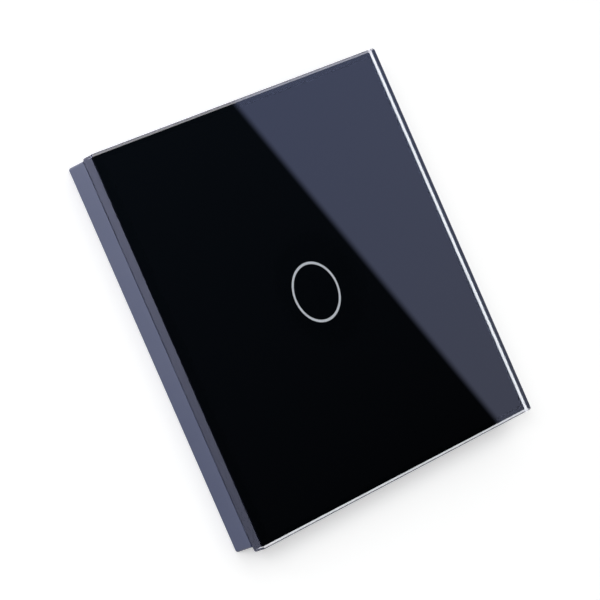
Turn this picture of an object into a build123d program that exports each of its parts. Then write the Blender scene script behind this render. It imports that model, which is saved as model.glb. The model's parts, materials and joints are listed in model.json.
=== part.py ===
from build123d import *
import os
from math import sqrt

# Smart light switch, one gang, in millimetres.
# X runs right, Z up and Y into the wall. The wall's face is Y = 0, and the
# origin is the middle of the wall screw pattern. Pieces are drawn in X and Z
# and given their thickness along Y, from a front to a back.

# Wall screws and mounting plate
screw_pitch = 60.0
slot_width = 3.8
slot_length = 7.6
plate_edge = 1.7
plate_corner = 2.5
plate_thickness = 1.2

# Touch carrier, the tray on the plate
carrier_step = 0.3
carrier_wall = 1.6
carrier_floor = 1.0
carrier_corner = 2.0
carrier_lid_gap = 0.3
groove_width = 1.0
groove_depth = 0.8
board_gap = 0.8
rim_clearance = 0.2
rim_thickness = 0.8
peg_radius = 1.2
peg_rise = 10.0
peg_gap = 1.3
peg_clearance = 0.05
window_side_gap = 1.5
window_end_gap = 1.0
plate_window_gap = 1.8

# Glass panel
glass_thickness = 3.0
glass_corner = 0.5
front_arris = 0.2
back_arris = 0.4
print_thickness = 0.1
print_corner = 0.3
ring_inner_radius = 5.62
ring_line = 0.5
ring_shift_x = -0.2
ring_drop = 0.4

# Panel frame and its clips
clip_room = 2.3
frame_wall = 2.2
frame_inset = 0.75
frame_rise = 0.3
frame_corner = 0.5
frame_back_round = 0.3
lip_height = 0.3
flange_reach = 1.8
flange_thickness = 1.6
notch_width = 8.0
notch_height = 1.6
gasket_width = 2.4
gasket_thickness = 0.5
gasket_clearance = 0.1
clip_width = 8.0
clip_thickness = 0.35
clip_foot = 1.1
clip_bite = 0.3
clip_offset = 18.0
clip_wall_gap = 0.4
clip_slope = 0.9
clip_curl = 0.4
clip_tail = 2.0

# Touch board and what it carries
touch_board_thickness = 1.0
front_room = 1.5
pad_radius = 4.0
pad_clearance = 0.05
guide_margin = 0.75
guide_gap = 0.1
guide_leg_radius = 0.5
guide_leg_count = 3
led_length = 1.6
led_width = 0.8
led_height = 0.7
chip_length = 6.2
chip_width = 4.0
chip_height = 1.0
chip_offset = 14.5
chip_leg_pitch = 1.27
chip_leg_width = 0.4
chip_leg_reach = 0.9
chip_leg_thickness = 0.15
smd_length = 1.6
smd_width = 0.8
smd_height = 0.6
smd_pitch = 2.6
smd_count = 6
switch_size = 3.6
switch_height = 0.9
switch_corner = 16.0
plunger_radius = 0.8
plunger_length = 0.7
plunger_clearance = 0.08
plunger_stand_out = 0.45
plunger_travel = 0.2
plunger_end_gap = 0.1

# Wireless module on the touch board's back
module_width = 16.0
module_height = 12.0
module_thickness = 0.8
module_rise = 3.0
can_width = 11.0
can_height = 9.0
can_depth = 1.8
can_wall = 0.2
can_margin = 0.5

# Link between the two boards
link_count = 5
link_pitch = 2.54
link_pin = 0.5
link_pin_clearance = 0.1
link_width = 2.5
header_depth = 1.5
socket_depth = 2.5
link_tail = 0.6
link_stop = 0.4
link_edge = 0.25

# Screws inside
board_screw_radius = 0.95
board_screw_head_radius = 1.9
board_screw_head_height = 1.1
board_screw_length = 3.8
board_boss_wall = 1.0
board_boss_depth = 2.2
board_boss_gap = 3.0
board_boss_clearance = 0.3
carrier_screw_radius = 1.2
carrier_screw_head_radius = 2.2
carrier_screw_length = 8.0
screw_clearance = 0.1
plate_hole_clearance = 0.2
thread_clearance = 0.05
driver_slot = 0.6
driver_slot_depth = 0.5

# Power board and the parts on its back, left to right
power_board_thickness = 1.6
board_front = 2.0
row_margin = 2.65
part_gap = 0.8
relay_width = 10.4
relay_length = 18.6
relay_height = 15.0
inductor_diameter = 5.5
inductor_height = 7.0
inductor_chamfer = 0.4
inductor_lead_span = 3.0
transformer_width = 10.4
transformer_length = 11.0
transformer_height = 11.5
transformer_gap = 5.0
bulk_diameter = 10.0
bulk_height = 13.0
bulk_gap = 2.0
bulk_lead_span = 5.0
output_diameter = 5.0
output_height = 9.0
output_shift = 0.9
output_gap = 3.6
output_lead_span = 2.0
bead_rise = 1.6
bead_offset = 0.15
bead_radius = 0.4
film_length = 13.0
film_thickness = 5.0
film_height = 11.0
film_lead_span = 10.0
varistor_diameter = 7.0
varistor_thickness = 3.6
varistor_rounding = 1.2
varistor_shift = 1.9
varistor_rise = 1.0
varistor_lift = 1.0
varistor_lead_span = 5.0
varistor_lead_reach = 3.0
fuse_diameter = 3.6
fuse_body_length = 8.2
fuse_length = 10.0
fuse_wire_radius = 0.24
part_rounding = 0.5
lead_radius = 0.3
lead_clearance = 0.12
lead_tail = 0.8
link_strip = 3.5

# Chips on the power board's front
converter_length = 4.9
converter_width = 3.9
converter_height = 1.5
converter_shift = 1.6
converter_gap = 5.0
rectifier_length = 4.6
rectifier_width = 2.6
rectifier_height = 1.4
rectifier_shift = 4.2
rectifier_rise = 0.8

# Parts of the relay
relay_wall = 0.5
relay_rounding = 0.4
relay_base_thickness = 2.0
relay_lift = 0.3
relay_slack = 0.1
coil_rise = 1.0
coil_gap = 0.5
coil_length = 8.5
coil_flange = 8.0
coil_flange_thickness = 0.7
coil_radius = 3.7
bobbin_wall = 0.7
core_radius = 1.5
core_clearance = 0.05
pole_radius = 2.4
pole_thickness = 0.6
yoke_thickness = 1.0
yoke_width = 7.0
yoke_foot_width = 5.4
yoke_gap = 0.5
ridge_clearance = 0.05
armature_thickness = 1.0
armature_gap = 0.4
armature_overhang = 2.0
leaf_thickness = 0.2
leaf_width = 3.0
contact_radius = 1.1
contact_height = 0.9
contact_gap = 0.8
contact_button = 0.55
contact_strip = 0.4
contact_edge = 2.0
contact_pin_drop = 1.2
relay_pin = 0.6
coil_pin_span = 7.0
coil_pin_rise = 2.7

# Transformer
core_leg = 1.3
core_depth = 4.8
core_yoke = 1.4
winding_width = 9.4
winding_corner = 2.0
winding_clearance = 0.12
bobbin_pin_edge = 1.0

# Terminals
cell_count = 3
cell_pitch = 8.5
cell_wall = 1.5
terminal_depth = 9.5
terminal_floor = 1.0
cage_clearance = 0.6
cage_wall = 0.8
cage_floor = 1.0
cage_length = 5.0
cage_bend = 0.5
cage_slack = 0.2
wire_room = 4.5
busbar_thickness = 0.8
busbar_width = 4.0
busbar_leg_width = 2.0
busbar_clearance = 0.1
nut_gap = 0.7
nut_thickness = 1.6
cage_travel = 3.5
travel_margin = 0.5
shoulder = 1.4
terminal_screw_radius = 1.5
terminal_screw_clearance = 0.08
terminal_thread_clearance = 0.05
terminal_head_radius = 2.3
terminal_head_height = 2.0
terminal_head_clearance = 0.15
terminal_head_chamfer = 0.25
terminal_slot = 0.8
terminal_slot_depth = 1.0
terminal_screw_rise = 0.2
head_recess = 1.0
tip_gap = 0.05

# Rear housing
housing_wall = 1.6
housing_cut = 9.0
housing_board_gap = 0.4
housing_back_gap = 0.2
housing_back_chamfer = 0.8
boss_radius = 2.8
boss_length = 8.0
boss_end = 1.0
boss_embed = 0.86
ledge_reach = 1.4
ledge_width = 4.0
ledge_depth = 4.0
ledge_offset = 6.0
window_margin = 0.2
window_width = 4.8
vent_count = 6
vent_width = 1.2
vent_length = 10.0
vent_pitch = 3.2
label_width = 26.0
label_height = 14.0
label_corner = 1.0
label_thickness = 0.12
label_rise = 5.0

# Sizes that follow
plate_size = screw_pitch + slot_length + 2 * plate_edge
carrier_size = plate_size - 2 * carrier_step
frame_inner = plate_size + 2 * clip_room
panel_size = frame_inner + 2 * frame_wall
frame_height = panel_size - 2 * frame_inset
access_radius = carrier_size / 2 - carrier_wall - screw_pitch / 2
touch_board_size = screw_pitch - 2 * (access_radius + board_gap)

plate_front = -plate_thickness
floor_front = plate_front - carrier_floor
touch_front = floor_front - touch_board_thickness
frame_front = touch_front - front_room
print_front = frame_front - print_thickness
glass_front = print_front - glass_thickness
flange_back = frame_front + flange_thickness
groove_front = flange_back + clip_thickness / 2
carrier_front = frame_front + carrier_lid_gap

power_board_size = (2 * row_margin + relay_width + inductor_diameter + transformer_width
                    + bulk_diameter + 3 * part_gap)
housing_inner = power_board_size + 2 * housing_board_gap
housing_size = housing_inner + 2 * housing_wall
housing_inner_cut = housing_cut - housing_wall * (2 - sqrt(2))
boss_sum = housing_inner - housing_inner_cut - sqrt(2) * (boss_radius - boss_embed)
boss_offset = boss_sum / 2
board_sum = boss_sum - sqrt(2) * (boss_radius + board_gap)
board_back = board_front + power_board_thickness

terminal_bottom = -housing_inner / 2 + housing_board_gap
terminal_top = terminal_bottom + terminal_depth
chamber_width = cell_pitch - cell_wall
chamber_front = board_back + terminal_floor
cage_front = chamber_front + cage_clearance
wire_front = cage_front + cage_floor
busbar_front = wire_front + wire_room
busbar_back = busbar_front + busbar_thickness
nut_front = busbar_back + nut_gap
nut_back = nut_front + nut_thickness
chamber_back = nut_back + cage_travel + travel_margin
shoulder_back = chamber_back + shoulder
terminal_back = shoulder_back + terminal_head_height + head_recess
cage_bottom = terminal_bottom + cage_slack
cage_top = cage_bottom + cage_length
chamber_top = cage_top + 2 * cage_slack
recess_radius = terminal_head_radius + terminal_head_clearance
screw_z = (cage_bottom + cage_top) / 2 + terminal_screw_rise
busbar_leg_z = terminal_top - 2 * busbar_thickness
housing_back = terminal_back + housing_back_gap + housing_wall
cells = [cell_pitch * (i - (cell_count - 1) / 2) for i in range(cell_count)]

link_z = terminal_top + link_edge + link_width / 2
link_xs = [link_pitch * (i - (link_count - 1) / 2) for i in range(link_count)]
link_length = link_count * link_pitch
header_back = floor_front + header_depth
socket_front = board_front - socket_depth

relay_x = -power_board_size / 2 + row_margin + relay_width / 2
inductor_x = relay_x + relay_width / 2 + part_gap + inductor_diameter / 2
transformer_x = inductor_x + inductor_diameter / 2 + part_gap + transformer_width / 2
bulk_x = transformer_x + transformer_width / 2 + part_gap + bulk_diameter / 2
film_z = terminal_top + link_strip + film_thickness / 2
transformer_z = film_z + film_thickness / 2 + transformer_gap + transformer_length / 2
film_x = transformer_x - transformer_width / 2 + part_gap + film_length / 2
varistor_x = bulk_x + varistor_shift
varistor_z = film_z + varistor_rise
bulk_z = varistor_z + varistor_diameter / 2 + bulk_gap + bulk_diameter / 2
fuse_z = film_z - film_thickness / 2 + fuse_length / 2
inductor_z = fuse_z + fuse_length / 2 + part_gap + inductor_diameter / 2
output_x = inductor_x + output_shift
output_z = inductor_z + inductor_diameter / 2 + output_gap + output_diameter / 2
converter_x = transformer_x + converter_shift
converter_z = transformer_z + transformer_length / 2 + converter_gap
rectifier_x = inductor_x - rectifier_shift
rectifier_z = output_z + rectifier_rise

window_half = max(module_width, link_length) / 2 + window_side_gap
peg_x = window_half + peg_radius + peg_gap
plate_window = 2 * (peg_x + peg_radius + plate_window_gap)
board_boss_radius = board_screw_radius + thread_clearance + board_boss_wall
board_boss_x = plate_window / 2 + board_boss_radius + board_boss_gap

yoke_back = relay_length / 2 - relay_wall - yoke_gap
yoke_middle = yoke_back - yoke_thickness / 2
coil_z = yoke_back - yoke_thickness - coil_gap - coil_flange / 2
pole_top = board_back + relay_base_thickness + coil_rise + coil_length + pole_thickness
armature_front = pole_top + armature_gap
armature_back = armature_front + armature_thickness
contact_z = -relay_length / 2 + relay_wall + contact_edge
relay_coil_pins = [(side * coil_pin_span / 2, coil_z + coil_pin_rise) for side in (-1, 1)]
relay_contact_pin = (0.0, contact_z - contact_pin_drop)
relay_common_pin = (0.0, yoke_middle)


def facing(y):
    return Plane(origin=(0, y, 0), x_dir=(1, 0, 0), z_dir=(0, -1, 0))


def layer(sketch, front, back):
    return extrude(facing(back) * sketch, amount=back - front)


def rod(x, z, radius, front, back):
    return layer(Pos(x, z) * Circle(radius), front, back)


def bar(x, z, width, height, front, back):
    return layer(Pos(x, z) * Rectangle(width, height), front, back)


def cone(x, z, front_radius, back_radius, front, back):
    base = Plane(origin=(x, front, z), z_dir=(0, 1, 0))
    return Solid.make_cone(front_radius, back_radius, back - front, base)


def octagon(size, cut):
    half = size / 2
    flat = half - cut
    corners = [(half, flat), (flat, half), (-flat, half), (-half, flat),
               (-half, -flat), (-flat, -half), (flat, -half), (half, -flat)]
    return make_face(Polyline(*corners, close=True))


def quarters(x, z):
    return [(x, z), (-x, z), (-x, -z), (x, -z)]


def joined(pieces):
    whole = pieces[0]
    for piece in pieces[1:]:
        whole += piece
    return whole


# Panel that comes off the wall

def glass_panel():
    glass = layer(RectangleRounded(panel_size, panel_size, glass_corner), glass_front, print_front)
    glass = chamfer(glass.faces().sort_by(Axis.Y)[0].edges(), front_arris)
    return chamfer(glass.faces().sort_by(Axis.Y)[-1].edges(), back_arris)


def ring_disc(radius):
    return Pos(ring_shift_x, -ring_drop) * Circle(radius)


def black_print():
    side = panel_size - 2 * back_arris
    field = RectangleRounded(side, side, print_corner)
    field -= ring_disc(ring_inner_radius + ring_line)
    return joined([layer(field, print_front, frame_front),
                   layer(ring_disc(ring_inner_radius), print_front, frame_front)])


def ring_window():
    ring = ring_disc(ring_inner_radius + ring_line) - ring_disc(ring_inner_radius)
    return layer(ring, print_front, frame_front)


def gasket_ring(clearance):
    outer_width = panel_size - frame_wall
    outer_height = frame_height - frame_wall
    ring = Rectangle(outer_width + 2 * clearance, outer_height + 2 * clearance)
    inner_trim = 2 * gasket_width + 2 * clearance
    return ring - Rectangle(outer_width - inner_trim, outer_height - inner_trim)


def adhesive_gasket():
    return layer(gasket_ring(0), frame_front, frame_front + gasket_thickness)


def frame_lip(side):
    # A low ridge along the frame's side that fills the groove under the glass's back arris
    edge = side * panel_size / 2
    line = [(edge, frame_front - lip_height), (edge, frame_front + lip_height),
            (edge - side * 2 * lip_height, frame_front + lip_height)]
    ridge = make_face(Polyline(*line, close=True))
    length = frame_height - 2 * frame_corner
    return Pos(0, 0, frame_rise) * extrude(ridge, amount=length / 2, both=True)


def panel_frame():
    inner_height = frame_height - 2 * frame_wall
    outline = Pos(0, frame_rise) * RectangleRounded(panel_size, frame_height, frame_corner)
    frame = layer(outline, frame_front, 0)
    frame = fillet(frame.faces().sort_by(Axis.Y)[-1].edges(), frame_back_round)
    frame += frame_lip(1)
    frame += frame_lip(-1)
    frame -= layer(Rectangle(frame_inner, inner_height), flange_back, 0)
    opening = Rectangle(frame_inner - 2 * flange_reach, inner_height - 2 * flange_reach)
    frame -= layer(opening, frame_front, flange_back)
    frame -= layer(gasket_ring(gasket_clearance), frame_front, frame_front + gasket_thickness)
    frame -= bar(0, -frame_height / 2 + frame_wall / 2, notch_width, frame_wall, -notch_height, 0)
    return frame


def retaining_clips():
    middle = clip_thickness / 2
    foot_start = frame_inner / 2 - clip_wall_gap
    bend = foot_start - clip_foot
    tip = carrier_size / 2 - clip_bite + middle
    groove_middle = groove_front + groove_width / 2
    line = [(foot_start, flange_back + middle), (bend, flange_back + middle), (tip, groove_middle),
            (bend, groove_middle + clip_slope), (bend + clip_curl, flange_back + clip_tail + middle)]
    profile = make_face(Polyline(*line).offset_2d(middle, side=Side.BOTH))
    strip = extrude(profile, amount=clip_width / 2, both=True)
    clips = []
    for x, z in quarters(1, clip_offset):
        clip = Pos(0, 0, z) * strip
        clips.append(clip if x > 0 else mirror(clip, Plane.YZ))
    return joined(clips)


# Base that stays on the wall

def mounting_plate():
    plate = RectangleRounded(plate_size, plate_size, plate_corner)
    plate -= RectangleRounded(plate_window, plate_window, plate_corner)
    for side in (-1, 1):
        middle = side * screw_pitch / 2
        plate -= Pos(middle, 0) * SlotOverall(slot_length, slot_width)
        plate -= Pos(0, middle) * SlotOverall(slot_length, slot_width, rotation=90)
        plate -= Pos(side * board_boss_x, 0) * Circle(board_boss_radius + board_boss_clearance)
    for x, z in quarters(boss_offset, boss_offset):
        plate -= Pos(x, z) * Circle(carrier_screw_radius + plate_hole_clearance)
    return layer(plate, plate_front, 0)


def touch_carrier():
    inner = carrier_size - 2 * carrier_wall
    tray = layer(RectangleRounded(carrier_size, carrier_size, carrier_corner), carrier_front, plate_front)
    tray -= layer(RectangleRounded(inner, inner, carrier_corner / 2), carrier_front, floor_front)
    rim_inner = touch_board_size + 2 * rim_clearance
    rim = Rectangle(rim_inner + 2 * rim_thickness, rim_inner + 2 * rim_thickness)
    tray += layer(rim - Rectangle(rim_inner, rim_inner), touch_front, floor_front)
    for x, z in quarters(peg_x, peg_rise):
        tray += rod(x, z, peg_radius, plate_front, board_front - peg_clearance)
    for side in (-1, 1):
        tray += rod(side * board_boss_x, 0, board_boss_radius, plate_front, plate_front + board_boss_depth)
        groove_x = side * (carrier_size / 2 - groove_depth / 2)
        tray -= bar(groove_x, 0, groove_depth, carrier_size, groove_front, groove_front + groove_width)
    for side in (-1, 1):
        tray -= rod(side * board_boss_x, 0, board_screw_radius + thread_clearance, floor_front, board_front)
        tray -= rod(side * screw_pitch / 2, 0, access_radius, touch_front, plate_front)
        tray -= rod(0, side * screw_pitch / 2, access_radius, touch_front, plate_front)
    window_top = module_rise + module_height / 2 + window_end_gap
    window_bottom = link_z - link_width / 2 - window_end_gap
    tray -= bar(0, (window_top + window_bottom) / 2, 2 * window_half, window_top - window_bottom,
                floor_front, plate_front)
    for x, z in quarters(boss_offset, boss_offset):
        tray -= cone(x, z, carrier_screw_head_radius + screw_clearance,
                     carrier_screw_radius + screw_clearance, floor_front, plate_front)
    return tray


def carrier_screws():
    screws = []
    for x, z in quarters(boss_offset, boss_offset):
        screw = cone(x, z, carrier_screw_head_radius, carrier_screw_radius, floor_front, plate_front)
        screw += rod(x, z, carrier_screw_radius, plate_front, floor_front + carrier_screw_length)
        screw -= bar(x, z, 2 * carrier_screw_head_radius, driver_slot, floor_front,
                     floor_front + driver_slot_depth)
        screws.append(screw)
    return joined(screws)


def touch_board():
    board = Rectangle(touch_board_size, touch_board_size)
    for side in (-1, 1):
        board -= Pos(side * board_boss_x, 0) * Circle(board_screw_radius + screw_clearance)
    hole = link_pin + 2 * link_pin_clearance
    for x in link_xs:
        board -= Pos(x, link_z) * Rectangle(hole, hole)
    return layer(board, touch_front, floor_front)


def touch_board_screws():
    screws = []
    for side in (-1, 1):
        x = side * board_boss_x
        head_front = touch_front - board_screw_head_height
        head = rod(x, 0, board_screw_head_radius, head_front, touch_front)
        head = fillet(head.faces().sort_by(Axis.Y)[0].edges(), board_screw_head_height / 2)
        head -= bar(x, 0, driver_slot, 3 * driver_slot, head_front, head_front + driver_slot_depth)
        head -= bar(x, 0, 3 * driver_slot, driver_slot, head_front, head_front + driver_slot_depth)
        screws.append(head + rod(x, 0, board_screw_radius, touch_front, touch_front + board_screw_length))
    return joined(screws)


def touch_pad():
    return rod(0, 0, pad_radius, frame_front + pad_clearance, touch_front)


def light_guide():
    front = frame_front + pad_clearance
    back = touch_front - led_height - guide_gap
    inner = ring_inner_radius - guide_margin
    outer = ring_inner_radius + ring_line + guide_margin
    guide = layer(Circle(outer) - Circle(inner), front, back)
    for spot in PolarLocations((inner + outer) / 2, guide_leg_count, start_angle=90):
        guide += layer(spot * Circle(guide_leg_radius), back, touch_front)
    return guide


def status_leds():
    radius = ring_inner_radius + ring_line / 2
    lamps = [bar(side * radius, 0, led_width, led_length, touch_front - led_height, touch_front)
             for side in (-1, 1)]
    return joined(lamps)


def gull_chip(x, z, length, width, front, back):
    # A chip on the front of a board, with its legs flat on the board at back
    body = bar(x, z, length, width, front, back)
    count = int((length - chip_leg_width) // chip_leg_pitch)
    for i in range(count):
        leg_x = x + chip_leg_pitch * (i - (count - 1) / 2)
        body += bar(leg_x, z, chip_leg_width, width + 2 * chip_leg_reach,
                    back - chip_leg_thickness, back)
    return body


def touch_chip():
    return gull_chip(0, -chip_offset, chip_length, chip_width, touch_front - chip_height, touch_front)


def chip_capacitors():
    row = chip_offset + chip_width / 2 + chip_leg_reach + smd_length
    parts = []
    for i in range(smd_count):
        x = smd_pitch * (i - (smd_count - 1) / 2)
        parts.append(bar(x, -row, smd_width, smd_length, touch_front - smd_height, touch_front))
    return joined(parts)


def pairing_switch():
    body = bar(-switch_corner, -switch_corner, switch_size, switch_size,
               touch_front - switch_height, touch_front)
    face = touch_front - switch_height
    depth = plunger_length - plunger_stand_out + plunger_travel + plunger_end_gap
    return body - rod(-switch_corner, -switch_corner, plunger_radius + plunger_clearance, face, face + depth)


def pairing_plunger():
    front = touch_front - switch_height - plunger_stand_out
    return rod(-switch_corner, -switch_corner, plunger_radius, front, front + plunger_length)


def wireless_module():
    return bar(0, module_rise, module_width, module_height, floor_front, floor_front + module_thickness)


def shield_can():
    front = floor_front + module_thickness
    z = module_rise - module_height / 2 + can_margin + can_height / 2
    can = bar(0, z, can_width, can_height, front, front + can_depth)
    return can - bar(0, z, can_width - 2 * can_wall, can_height - 2 * can_wall,
                     front, front + can_depth - can_wall)


def link_header():
    block = bar(0, link_z, link_length, link_width, floor_front, header_back)
    for x in link_xs:
        block -= bar(x, link_z, link_pin, link_pin, floor_front, header_back)
    return block


def link_pins():
    pins = [bar(x, link_z, link_pin, link_pin, touch_front - link_tail, board_front - 2 * link_stop)
            for x in link_xs]
    return joined(pins)


def link_socket():
    block = bar(0, link_z, link_length, link_width, socket_front, board_front)
    hole = link_pin + 2 * link_pin_clearance
    for x in link_xs:
        block -= bar(x, link_z, hole, hole, socket_front, board_front - link_stop)
        block += bar(x, link_z, link_pin, link_pin, board_front, board_back + link_tail)
    return block


# Power board

def leads(spots):
    return [rod(x, z, lead_radius, board_front - lead_tail, board_back) for x, z in spots]


def pair_spots(x, z, span):
    return [(x - span / 2, z), (x + span / 2, z)]


def transformer_spots():
    reach_x = transformer_width / 2 - bobbin_pin_edge
    reach_z = transformer_length / 2 - bobbin_pin_edge
    return [(transformer_x + x, transformer_z + z) for x, z in quarters(reach_x, reach_z)]


lead_spots = {
    "inductor": pair_spots(inductor_x, inductor_z, inductor_lead_span),
    "transformer": transformer_spots(),
    "bulk": pair_spots(bulk_x, bulk_z, bulk_lead_span),
    "output": pair_spots(output_x, output_z, output_lead_span),
    "film": pair_spots(film_x, film_z, film_lead_span),
    "varistor": [(varistor_x, varistor_z - varistor_lead_span / 2),
                 (varistor_x, varistor_z + varistor_lead_span / 2)],
    "fuse": [(inductor_x, fuse_z - fuse_length / 2 + lead_radius),
             (inductor_x, fuse_z + fuse_length / 2 - lead_radius)],
}


def power_board():
    board = octagon(power_board_size, power_board_size - board_sum)
    for spots in lead_spots.values():
        for x, z in spots:
            board -= Pos(x, z) * Circle(lead_radius + lead_clearance)
    hole = link_pin + 2 * link_pin_clearance
    for x in link_xs:
        board -= Pos(x, link_z) * Rectangle(hole, hole)
    pin_hole = relay_pin + 2 * lead_clearance
    for x, z in relay_coil_pins + [relay_contact_pin, relay_common_pin]:
        board -= Pos(relay_x + x, z) * Rectangle(pin_hole, pin_hole)
    for x in cells:
        board -= Pos(x, busbar_leg_z) * Rectangle(
            busbar_leg_width + 2 * lead_clearance, busbar_thickness + 2 * lead_clearance)
    return layer(board, board_front, board_back)


def can_capacitor(x, z, diameter, height, spots):
    top = board_back + height
    can = rod(x, z, diameter / 2, board_back, top)
    can = fillet(can.faces().sort_by(Axis.Y)[-1].edges(), part_rounding)
    bead = Plane(origin=(x, board_back + bead_rise, z), z_dir=(0, 1, 0))
    can -= Solid.make_torus(diameter / 2 + bead_offset, bead_radius, bead)
    return joined([can] + leads(spots))


def bulk_capacitor():
    return can_capacitor(bulk_x, bulk_z, bulk_diameter, bulk_height, lead_spots["bulk"])


def output_capacitor():
    return can_capacitor(output_x, output_z, output_diameter, output_height, lead_spots["output"])


def film_capacitor():
    box = bar(film_x, film_z, film_length, film_thickness, board_back, board_back + film_height)
    box = fillet(box.faces().sort_by(Axis.Y)[-1].edges(), part_rounding)
    return joined([box] + leads(lead_spots["film"]))


def varistor():
    middle_y = board_back + varistor_lift + varistor_diameter / 2
    middle = Plane(origin=(varistor_x, middle_y, varistor_z), z_dir=(1, 0, 0))
    disc = extrude(middle * Circle(varistor_diameter / 2), amount=varistor_thickness / 2, both=True)
    disc = fillet(disc.edges().filter_by(GeomType.CIRCLE), varistor_rounding)
    legs = [rod(x, z, lead_radius, board_front - lead_tail, board_back + varistor_lead_reach)
            for x, z in lead_spots["varistor"]]
    return joined([disc] + legs)


def fuse():
    middle_y = board_back + fuse_diameter / 2
    middle = Plane(origin=(inductor_x, middle_y, fuse_z), z_dir=(0, 0, 1))
    tube = extrude(middle * Circle(fuse_diameter / 2), amount=fuse_body_length / 2, both=True)
    tube += extrude(middle * Circle(fuse_wire_radius), amount=fuse_length / 2 - lead_radius, both=True)
    legs = [rod(x, z, lead_radius, board_front - lead_tail, middle_y + lead_radius)
            for x, z in lead_spots["fuse"]]
    return joined([tube] + legs)


def inductor():
    drum = rod(inductor_x, inductor_z, inductor_diameter / 2, board_back, board_back + inductor_height)
    drum = chamfer(drum.faces().sort_by(Axis.Y)[-1].edges(), inductor_chamfer)
    return joined([drum] + leads(lead_spots["inductor"]))


def transformer_bobbin():
    foot = bar(transformer_x, transformer_z, transformer_width, transformer_length,
               board_back, board_back + core_yoke)
    return joined([foot] + leads(lead_spots["transformer"]))


def transformer_core():
    front = board_back + core_yoke
    back = board_back + transformer_height
    core = bar(transformer_x, transformer_z, core_depth, transformer_length, front, back)
    window = transformer_length / 2 - 2 * core_leg
    for side in (-1, 1):
        z = transformer_z + side * (core_leg + window / 2)
        core -= bar(transformer_x, z, core_depth, window, front + core_yoke, back - core_yoke)
    return core


def transformer_winding():
    front = board_back + 2 * core_yoke + winding_clearance
    back = board_back + transformer_height - core_yoke - winding_clearance
    length = transformer_length - 2 * core_leg - 2 * winding_clearance
    outline = RectangleRounded(winding_width, length, winding_corner)
    outline -= Rectangle(core_depth + 2 * winding_clearance, 2 * core_leg + 2 * winding_clearance)
    return layer(Pos(transformer_x, transformer_z) * outline, front, back)


def converter_chip():
    return gull_chip(converter_x, converter_z, converter_length, converter_width,
                     board_front - converter_height, board_front)


def rectifier():
    return gull_chip(rectifier_x, rectifier_z, rectifier_length, rectifier_width,
                     board_front - rectifier_height, board_front)


# Relay, drawn about its own middle and then put in its place

def in_relay(shape):
    return Pos(relay_x, 0, 0) * shape


def relay_base():
    width = relay_width - 2 * (relay_wall + relay_slack)
    length = relay_length - 2 * (relay_wall + relay_slack)
    base = bar(0, 0, width, length, board_back, board_back + relay_base_thickness)
    hole = relay_pin + relay_slack
    for x, z in relay_coil_pins + [relay_contact_pin, relay_common_pin]:
        base -= bar(x, z, hole, hole, board_back, board_back + relay_base_thickness)
    return in_relay(base)


def relay_case():
    front = board_back + relay_lift
    back = board_back + relay_height
    case = bar(0, 0, relay_width, relay_length, front, back)
    case = fillet(case.faces().sort_by(Axis.Y)[-1].edges(), relay_rounding)
    case -= bar(0, 0, relay_width - 2 * relay_wall, relay_length - 2 * relay_wall, front, back - relay_wall)
    return in_relay(case)


def relay_bobbin():
    front = board_back + relay_base_thickness + coil_rise
    back = front + coil_length
    barrel = rod(0, coil_z, core_radius + core_clearance + bobbin_wall, front, back)
    barrel += bar(0, coil_z, coil_flange, coil_flange, front, front + coil_flange_thickness)
    barrel += bar(0, coil_z, coil_flange, coil_flange, back - coil_flange_thickness, back)
    return in_relay(barrel - rod(0, coil_z, core_radius + core_clearance, front, back))


def relay_winding():
    front = board_back + relay_base_thickness + coil_rise + coil_flange_thickness
    back = front + coil_length - 2 * coil_flange_thickness
    ring = Circle(coil_radius) - Circle(core_radius + core_clearance + bobbin_wall)
    return in_relay(layer(Pos(0, coil_z) * ring, front, back))


def relay_yoke():
    front = board_back + relay_base_thickness
    foot_length = yoke_back - coil_z + core_radius
    yoke = bar(0, yoke_back - foot_length / 2, yoke_foot_width, foot_length, front, front + yoke_thickness)
    yoke += bar(0, yoke_middle, yoke_width, yoke_thickness, front, pole_top)
    yoke += rod(0, coil_z, core_radius, front, pole_top)
    yoke += rod(0, coil_z, pole_radius, pole_top - pole_thickness, pole_top)
    ridge = Plane(origin=(0, pole_top, yoke_middle), z_dir=(1, 0, 0)) * Circle(armature_gap - ridge_clearance)
    yoke += extrude(ridge, amount=yoke_width / 2, both=True)
    x, z = relay_common_pin
    return in_relay(yoke + bar(x, z, relay_pin, relay_pin, board_front - lead_tail, front))


def relay_armature():
    length = yoke_back - coil_z + armature_overhang + pole_radius
    return in_relay(bar(0, yoke_back - length / 2, yoke_width, length, armature_front, armature_back))


def relay_contact_leaf():
    start = coil_z
    end = contact_z - contact_radius
    leaf = bar(0, (start + end) / 2, leaf_width, start - end, armature_back, armature_back + leaf_thickness)
    return in_relay(leaf + rod(0, contact_z, contact_radius, armature_back - contact_height, armature_back))


def relay_fixed_contact():
    top = armature_back - contact_height - contact_gap
    shelf_front = top - contact_button - contact_strip
    base_back = board_back + relay_base_thickness
    x, z = relay_contact_pin
    strip = bar(x, z, leaf_width, contact_strip, base_back, shelf_front + contact_strip)
    shelf_end = contact_z + contact_radius
    shelf_start = z - contact_strip / 2
    strip += bar(x, (shelf_start + shelf_end) / 2, leaf_width, shelf_end - shelf_start,
                 shelf_front, shelf_front + contact_strip)
    strip += rod(0, contact_z, contact_radius, shelf_front + contact_strip, top)
    strip += bar(x, z, relay_pin, contact_strip, board_front - lead_tail, base_back)
    return in_relay(strip)


def relay_pins():
    back = board_back + relay_base_thickness + coil_rise
    pins = [bar(x, z, relay_pin, relay_pin, board_front - lead_tail, back) for x, z in relay_coil_pins]
    return in_relay(joined(pins))


# Terminals, one cell for each wire

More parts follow.
